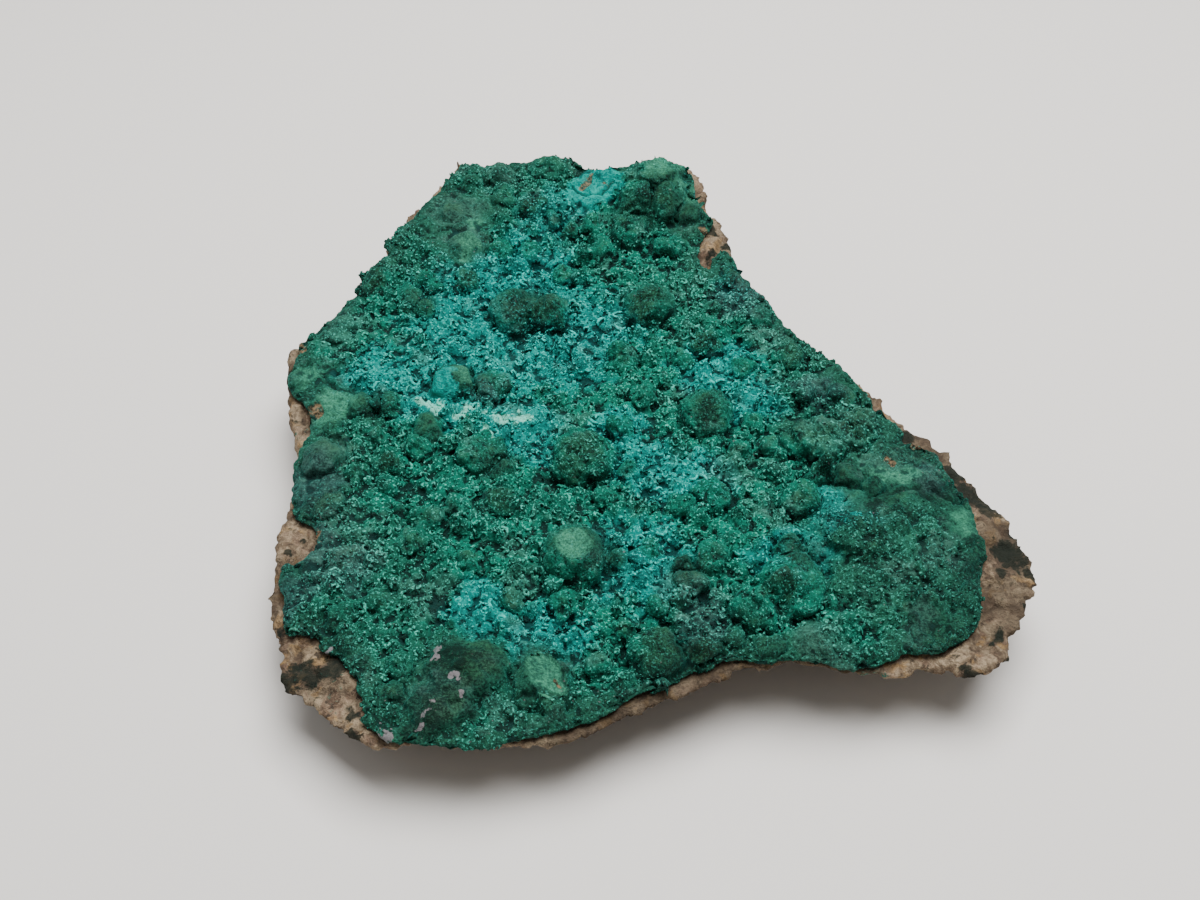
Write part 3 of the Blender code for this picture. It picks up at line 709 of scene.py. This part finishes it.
def rock_finish():
    """Tan and pinkish-brown rock: ochre, pale grit, dark specks and stains, with painted shade in
    its pits and cracks.
    """
    finish = Finish("brown rock")
    place = finish.warped(finish.place, 0.3, 2.5)
    patches = finish.noise(place, 0.17, 5.0, 0.65)
    fine = finish.noise(place, 0.7, 4.0, 0.7)
    grit = finish.noise(finish.place, 1.5, 3.0, 0.65)
    black = finish.value("black")
    colour = finish.shade("rock", patches.between(0.42, 0.58))
    pink = finish.noise(finish.scaled(place, 1.3), 0.22, 3.0).between(0.50, 0.62)
    colour = finish.mix(pink * 0.35, colour, PINK)
    ochre = finish.noise(finish.scaled(place, 0.9), 0.30, 3.0).between(0.55, 0.65)
    colour = finish.mix(ochre * 0.5, colour, OCHRE)
    # Painted shade in the pits, where the bumped surface is lowest.
    colour = finish.mix(fine.between(0.34, 0.56) * 0.65 + 0.35, ROCK_PIT_SHADE, colour)
    pale = (fine * 0.6 + grit * 0.5).between(0.60, 0.70)
    colour = finish.mix(pale * 0.45, colour, PALE_GRIT)
    dark = finish.noise(place, 0.40, 5.0, 0.8) + (black - 0.3) * 0.12
    colour = finish.mix(dark.between(0.52, 0.60) * 0.8, colour, DARK_SPECK)
    band = finish.stretched(finish.warped(finish.place, 0.06, 14.0), (0.22, 0.42, 0.4))
    streak = finish.noise(band, 1.0, 5.0, 0.7)
    dull = (finish.value("dull") * 0.9 + (streak - 0.5) * 2.0).between(0.10, 0.60)
    colour = finish.mix(dull * 0.66, colour, finish.shade("dull rock", fine))
    # Painted shade in the cracks.
    colour = finish.mix(finish.value("crack") * 0.45, colour, ROCK_CRACK_SHADE)
    stain = (black + (fine - 0.5) * 2.0 + (patches - 0.5) * 2.0).between(0.25, 0.65)
    colour = finish.mix(stain * 0.9, colour, BLACK_COATING)
    green_patch = finish.noise(finish.place, 0.07, 4.0, 0.6)
    green = (green_patch * 0.9 + finish.value("green") + (fine - 0.5) * 0.5).between(0.62, 0.74)
    colour = finish.mix(green * 0.9, colour, finish.shade("green stain", grit))
    finish.set(Base_Color=colour, Roughness=0.80 + fine * 0.2, Specular_IOR_Level=0.2,
               Normal=finish.bump(fine * 0.7 + grit * 0.3, 1.2))
    return finish.material


def floor_finish():
    """Plain pale floor."""
    finish = Finish("pale floor")
    finish.set(Base_Color=FLOOR_COLOUR, Roughness=0.8, Specular_IOR_Level=0.1)
    return finish.material


# ---- Crust --------------------------------------------------------------------------------------
def round_out_lumps(mesh):
    """Make the lumps rounder, with overhanging flanks and a groove about their feet."""
    places = places_of(mesh)
    upward = ease(normals_of(mesh)[:, 2] * 2.0 + 1.2)
    above = np.zeros(len(places))
    feet = np.zeros(len(places))
    shift = np.zeros((len(places), 3))
    wandering_x, wandering_y = wandering(places)
    uneven_x = places[:, 0] * (1.0 - LUMP_UNEVENNESS) + wandering_x * LUMP_UNEVENNESS
    uneven_y = places[:, 1] * (1.0 - LUMP_UNEVENNESS) + wandering_y * LUMP_UNEVENNESS
    for x, y, radius, height in LUMPS:
        across, along = uneven_x - x, uneven_y - y
        distance = np.hypot(across, along) / radius
        near = distance < 1.5
        above[near] = np.maximum(above[near], 1.0 - distance[near] ** 2)
        push = LUMP_PUSH * radius * hump(distance, 0.45, 1.15) * min(1.0, height / 2.5)
        shift[:, 0] += push * across / (distance * radius + 0.01)
        shift[:, 1] += push * along / (distance * radius + 0.01)
        shift[:, 2] += LUMP_RISE * height * np.clip(1.0 - distance ** 2, 0.0, 1.0)
        tall = min(1.0, height / 3.0)
        # The feet of the lumps are marked for painted shade about their grooves.
        feet = np.maximum(feet, hump(distance, 0.70, 1.40) * tall)
        shift[:, 2] -= GROOVE_DEPTH * hump(distance, 0.95, 1.45) * tall
    places += shift * upward[:, None]
    facet = np.zeros(len(places))
    for (x, y, z), (lean_x, lean_y), (length, width, turn), rise in BROKEN_TOPS:
        across, along = places[:, 0] - x, places[:, 1] - y
        face = z + lean_x * across + lean_y * along
        lengthwise = (across * math.cos(turn) + along * math.sin(turn)) / length
        widthwise = (along * math.cos(turn) - across * math.sin(turn)) / width
        inside = ease((1.0 - np.hypot(lengthwise, widthwise)) * 5.0) * upward
        lifted = places[:, 2] + rise * inside
        cut = inside * (lifted > face)
        facet = np.maximum(facet, cut * ease((lifted - face) / 0.6))
        places[:, 2] = lifted + (face - lifted) * cut
    put_places(mesh, places)
    keep_value(mesh, "lump", np.clip(above, 0.0, 1.0))
    keep_value(mesh, "foot", feet * (1.0 - ease(above * 4.0)))
    keep_value(mesh, "facet", facet)


def crust_zones(mesh):
    """Store where the crust is turquoise, smooth, pale and so on."""
    places = places_of(mesh)
    zones = {
        "turquoise": TURQUOISE, "pale": PALE, "light_green": LIGHT_GREEN, "cyan": CYAN,
        "slate": SLATE, "dark": DARK_AND_SHADED, "speck": SPECKS, "bare": BARE, "muted": MUTED,
        "dusty": DUSTY,
    }
    for name, spots in zones.items():
        keep_value(mesh, name, spot_mask(places, spots))
    rim = rim_mask(mesh, RIM_REACH)
    keep_value(mesh, "rim", rim)
    keep_value(mesh, "crease", crease_mask(places))
    uneven = 0.7 + 0.3 * np.sin(0.21 * places[:, 0] + 1.7 * np.sin(0.16 * places[:, 1]))
    granular = (1.0 - ease(spot_mask(places, SMOOTH) * 1.5)) * (1.0 - ease(rim * 1.3) * uneven)
    keep_value(mesh, "granular", granular)
    keep_value(mesh, "fine", ease(spot_mask(places, FINE) * 1.5))


def grow_relief(piece):
    """Raise the curdled relief of the crust: clumps, knobs, worm-like ridges and grit."""
    growth = Growth("curdled relief")
    place = growth.warped(growth.place, 0.30, 2.2)
    broad = growth.warped(growth.place, 0.12, 4.0)
    granular = growth.value("granular")
    upward = growth.part(growth.normal, 2).between(-0.1, 0.8)
    lump = growth.value("lump").between(0.0, 0.35)
    fineness = (lump * 0.55 + growth.value("fine") * 0.40).clamped()
    ridge = (1.0 - abs(growth.noise(place, 0.38, 1.5) - 0.5) * 6.0).clamped()
    knob = growth.knobs(place, 0.46, 1.7)
    tall = growth.part(growth.cells(broad, 0.22, output=1), 0)
    clump = growth.knobs(broad, 0.22, 1.9) * (0.45 + tall * tall * 1.5)
    small_knob = growth.knobs(growth.place, 0.92, 1.7)
    swell = growth.noise(growth.place, 0.09, 2.0) - 0.5
    grit = growth.noise(growth.place, 1.1, 2.0) - 0.5
    curd = ridge * 0.45 + knob * 0.55
    coarse_height = ridge * 0.6 + knob * 1.25 + clump * 2.3 - 1.9
    fine_height = small_knob * 0.5 + knob * 0.3 + clump * 0.4 + grit * 0.6 - 0.7
    rough_height = coarse_height * (1.0 - fineness) + fine_height * fineness
    rough_height = rough_height + grit * 0.5 + swell * 1.2
    velvet = growth.noise(growth.place, 0.9, 3.0, 0.6) - 0.5
    fold = (1.0 - abs(growth.noise(growth.place, 0.13, 2.0) - 0.5) * 9.0).clamped()
    smooth_height = growth.noise(growth.place, 0.20, 3.0) * 0.9 + velvet * 0.8 + fold * 0.9
    smooth_height = smooth_height - 0.7 + swell
    height = granular * rough_height + (1.0 - granular) * smooth_height
    height = height * (1.0 - growth.value("facet") * 0.85) - growth.value("crease") * 0.9
    height = height - growth.value("bare").between(0.1, 0.6) * 0.7
    notch = growth.noise(growth.place, 0.30, 3.0).between(0.35, 0.65) * 3.0
    edge = notch * growth.value("rim").between(0.75, 0.95)
    coarse_crest = curd * 0.6 + clump * 0.4
    fine_crest = small_knob * 0.3 + knob * 0.15 + 0.30
    crest = coarse_crest * (1.0 - fineness) + fine_crest * fineness
    crest = crest + fold * (1.0 - granular) * 0.25
    kept = growth.keep(growth.mesh, "crest", crest)
    kept = growth.keep(kept, "clump", clump)
    kept = growth.keep(kept, "fineness", (fineness + 1.0 - granular).clamped())
    growth.apply_to(piece, growth.moved(kept, height * upward - edge * (1.0 - upward)))


def flatten_tops(mesh, height):
    """Press down what stands above a height, so that the crust keeps its size."""
    places = places_of(mesh)
    places[:, 2] = np.minimum(places[:, 2], height + 0.2 * (places[:, 2] - height))
    put_places(mesh, places)


def crust_skin():
    """The crust's own surface, in fine relief."""
    skin = copied_node("malachite_crust", "crust_skin")
    finish_modifier(skin, "SUBSURF", levels=1, render_levels=1)
    finish_modifier(skin, "REMESH", mode="VOXEL", voxel_size=SKIN_STEP * MM, adaptivity=0.0)
    thin_out(skin, normals_of(skin.data)[:, 2] < -0.5)
    round_out_lumps(skin.data)
    draw_in_front(skin.data)
    crust_zones(skin.data)
    grow_relief(skin)
    flatten_tops(skin.data, HIGHEST_LUMP)
    give_finish(skin, skin_finish())
    return skin


def cut_across(piece, depth, keep_front):
    """Cut a piece square across at some depth, keep one part of it and close the cut."""
    use_only(piece)
    bpy.ops.object.mode_set(mode="EDIT")
    bpy.ops.mesh.select_all(action="SELECT")
    bpy.ops.mesh.bisect(plane_co=(0, depth * MM, 0), plane_no=(0, 1, 0), threshold=0.001 * MM,
                        clear_outer=keep_front, clear_inner=not keep_front)
    bpy.ops.mesh.mark_sharp()
    bpy.ops.mesh.select_all(action="SELECT")
    bpy.ops.mesh.fill_holes(sides=0)
    bpy.ops.object.mode_set(mode="OBJECT")


def front_and_back(piece, depth):
    """Two closed pieces, the parts of one in front of some depth and behind it."""
    front = new_piece(f"{piece.name}_1", piece.data.copy())
    back = new_piece(f"{piece.name}_2", piece.data.copy())
    cut_across(front, depth, True)
    cut_across(back, depth, False)
    bpy.data.objects.remove(piece)
    return [front, back]


# ---- Grains -------------------------------------------------------------------------------------
def grain_bead(number):
    """A rounded bead of unit radius, the second kind knobbly."""
    bpy.ops.mesh.primitive_ico_sphere_add(subdivisions=2 if number == 1 else 1, radius=1.0)
    bead = bpy.context.object
    for vertex in bead.data.vertices:
        place = vertex.co + Vector((number * 7.0, 0, 0))
        vertex.co *= 1.0 + 0.45 * noise.noise(place * 1.1) + 0.40 * noise.noise(place * 2.9)
    return bead


def grain_curl(number):
    """A curled worm, about three times as long as it is thick."""
    bpy.ops.mesh.primitive_uv_sphere_add(segments=5, ring_count=6, radius=1.0)
    curl = bpy.context.object
    bend = CURL_BENDS[number]
    smooth(curl)
    for vertex in curl.data.vertices:
        along = vertex.co.z * bend
        thick = 0.70 + 0.08 * math.sin(7.0 * along + number)
        reach = 2.8 / bend
        out = reach + vertex.co.x * thick
        vertex.co = (out * math.cos(along) - reach, out * math.sin(along), -vertex.co.y * thick)
    return curl


def grain_shapes():
    """The grain shapes, beads and then curls, in a collection of their own."""
    store = bpy.data.collections.new("grain shapes")
    grains = [make(number) for make in (grain_bead, grain_curl) for number in range(GRAIN_KINDS)]
    for number, grain in enumerate(grains):
        grain.name = f"grain_{number}"
        heights = np.array([vertex.co.z for vertex in grain.data.vertices])
        # The top of each shape is marked for a painted highlight in the grains' finish.
        tip = ease((heights - heights.min()) / (heights.max() - heights.min()))
        keep_value(grain.data, "tip", tip)
        for owner in list(grain.users_collection):
            owner.objects.unlink(grain)
        store.objects.link(grain)
    return store


def grow_grains(skin, shapes, name, front, back, seed):
    """Scatter grains over one band of the crust and join them to one mesh."""
    grains = new_piece(name, skin.data.copy())
    growth = Growth(name)
    depth = growth.part(growth.place, 1)
    upward = growth.part(growth.normal, 2) > 0.0
    granular, lump, fine = (growth.value(zone) for zone in ("granular", "lump", "fine"))
    band = (depth > front) * (depth < back) * upward
    plenty = (growth.noise(growth.place, 0.25, 2.0) * 2.6 - 0.25).clamped()
    plenty = plenty * (1.0 - lump.between(0.05, 0.4) * 0.55)
    plenty = plenty * (0.25 + growth.value("crest").between(0.10, 0.45) * 0.75)
    spread = growth.node("GeometryNodeDistributePointsOnFaces", {"distribute_method": "POISSON"}, {
        "Mesh": growth.mesh, "Selection": band * (granular > 0.3) * (growth.value("facet") < 0.3),
        "Distance Min": GRAIN_SPACING * MM, "Density Max": GRAIN_DENSITY / (MM * MM),
        "Density Factor": plenty, "Seed": seed,
    })
    points = growth.keep(spread, "tone", growth.chance(0.0, 1.0, 1))

    upright = Signal(growth, spread.socket.node.outputs["Rotation"])
    lean = growth.vector(growth.chance(-0.5, 0.5, 5), growth.chance(-0.6, 0.6, 6),
                         growth.chance(0.0, 6.28, 2))
    turned = growth.node("FunctionNodeRotateRotation", {"rotation_space": "LOCAL"},
                         {0: upright, 1: lean})

    luck = growth.chance(0.0, 1.0, 3)
    small = (fine * 0.50 + lump.between(0.0, 0.4) * 0.50).clamped() * 0.6
    size = (0.55 + luck * luck * luck * 0.9) * (0.4 + granular * 0.6) * (1.0 - small)
    size = size * GRAIN_RADIUS * MM

    # Beads are numbered below the curls, so a higher choice is a longer grain.
    wormy = growth.noise(growth.place, 0.11, 2.0).between(0.40, 0.60) * (1.0 - fine)
    choice = (growth.chance(0.0, 3.5, 4) + wormy * 2.49).math("FLOOR")
    shape = growth.node("GeometryNodeCollectionInfo", None, {
        "Collection": shapes, "Separate Children": True, "Reset Children": True,
    })
    placed = growth.node("GeometryNodeInstanceOnPoints", None, {
        "Points": points, "Instance": shape, "Pick Instance": True, "Instance Index": choice,
        "Rotation": turned, "Scale": growth.vector(size, size, size),
    })
    realized = growth.node("GeometryNodeRealizeInstances", None, {"Geometry": placed})
    growth.apply_to(grains, realized)
    return grains


# ---- Rock ---------------------------------------------------------------------------------------
def under_crust(mesh):
    """True for each vertex that has the crust close above it."""
    crust = bpy.data.objects["malachite_crust"]
    tree = BVHTree.FromObject(crust, bpy.context.evaluated_depsgraph_get())
    covered = np.zeros(len(mesh.vertices), dtype=bool)
    for index in np.flatnonzero(normals_of(mesh)[:, 2] > 0.3):
        place = mesh.vertices[int(index)].co
        covered[index] = tree.ray_cast(place, (0, 0, 1), COVER_HEIGHT * MM)[0] is not None
    return covered


def grow_breaks(rock):
    """Chip, ledge and crack the rock where it is bare."""
    growth = Growth("broken rock")
    broken = growth.warped(growth.place, 0.2, 3.0)
    chips = growth.cells(broken, 0.16) * 1.5
    ledges = (growth.noise(broken, 0.09, 2.0) * 9.0).math("FLOOR") * 0.35
    crumbs = growth.cells(broken, 0.45) * 0.8
    grit = growth.noise(growth.place, 0.7, 3.0, 0.6) * 1.1
    crack = (1.0 - abs(growth.noise(broken, 0.085, 3.0) - 0.5) * 15.0).clamped()
    height = chips + ledges + crumbs + grit - crack * 0.9 - 2.9
    kept = growth.keep(growth.mesh, "crack", crack)
    growth.apply_to(rock, growth.moved(kept, height * growth.value("bare")))


def rock_body():
    """The rock in fine broken relief, left as it is where the crust covers it."""
    rock = copied_node("rock_matrix", "rock_body")
    finish_modifier(rock, "REMESH", mode="VOXEL", voxel_size=ROCK_STEP * MM, adaptivity=0.0)
    resting = places_of(rock.data)[:, 2] < RESTING_HEIGHT
    thin_out(rock, under_crust(rock.data) | resting)
    mesh = rock.data
    draw_in_front(mesh)
    places = places_of(mesh)
    # Bare rock is broken, less and less towards the resting face, and stained green low down.
    keep_value(mesh, "bare", ~under_crust(mesh) * ease((places[:, 2] - 0.3) / 3.0))
    keep_value(mesh, "black", spot_mask(places, BLACK_STAIN))
    keep_value(mesh, "dull", spot_mask(places, DULL_ROCK))
    green = 0.10 * ease((16.0 - places[:, 2]) / 8.0) + 0.30 * spot_mask(places, GREEN_STAIN)
    keep_value(mesh, "green", green)
    grow_breaks(rock)
    give_finish(rock, rock_finish())
    return rock


# ---- Stage --------------------------------------------------------------------------------------
def make_stage():
    """Floor, soft overhead light and camera."""
    bpy.ops.object.select_all(action="DESELECT")
    bpy.ops.mesh.primitive_plane_add(size=FLOOR_SIZE * MM)
    floor = bpy.context.object
    floor.name = "floor"
    floor.data.materials.append(floor_finish())

    world = bpy.data.worlds.new("soft room")
    world.use_nodes = True
    background = world.node_tree.nodes["Background"]
    background.inputs["Color"].default_value = ROOM_COLOUR
    background.inputs["Strength"].default_value = ROOM_STRENGTH
    bpy.context.scene.world = world

    for name, place, size, power in LAMPS:
        bpy.ops.object.light_add(type="AREA", location=place)
        light = bpy.context.object
        light.name = name
        light.data.size = size
        light.data.energy = power
        light.rotation_euler = (-Vector(place)).to_track_quat("-Z", "Y").to_euler()

    pitch = math.radians(CAMERA_PITCH)
    target = Vector(CAMERA_TARGET) * MM
    away = Vector((0.0, -math.cos(pitch), math.sin(pitch)))
    bpy.ops.object.camera_add(location=target + away * CAMERA_DISTANCE * MM)
    camera = bpy.context.object
    camera.rotation_euler = (math.radians(90.0 - CAMERA_PITCH), 0.0, 0.0)
    camera.data.lens = CAMERA_LENS
    camera.data.clip_start = CAMERA_CLIP * MM
    bpy.context.scene.camera = camera


# ---- The specimen -------------------------------------------------------------------------------
def main():
    """Set the stage, finish the rock and the crust, fix them to the root body and hide the solids
    they stand for.
    """
    make_stage()
    rock = rock_body()
    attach(rock, "root")
    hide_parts("rock_matrix")

    skin = crust_skin()
    shapes = grain_shapes()
    finish = grain_finish()
    green_pieces = []
    for number, (front, back) in enumerate(zip(GRAIN_BANDS, GRAIN_BANDS[1:])):
        grains = grow_grains(skin, shapes, f"grains_{number + 1}", front, back, number)
        give_finish(grains, finish)
        green_pieces.append(grains)
    halves = front_and_back(skin, SKIN_CUT)
    green_pieces += halves
    for item in list(shapes.objects):
        bpy.data.objects.remove(item)
    for piece in green_pieces:
        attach(piece, "root")
        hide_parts("malachite_crust")
    for piece in (rock, *halves):
        smooth(piece)


main()
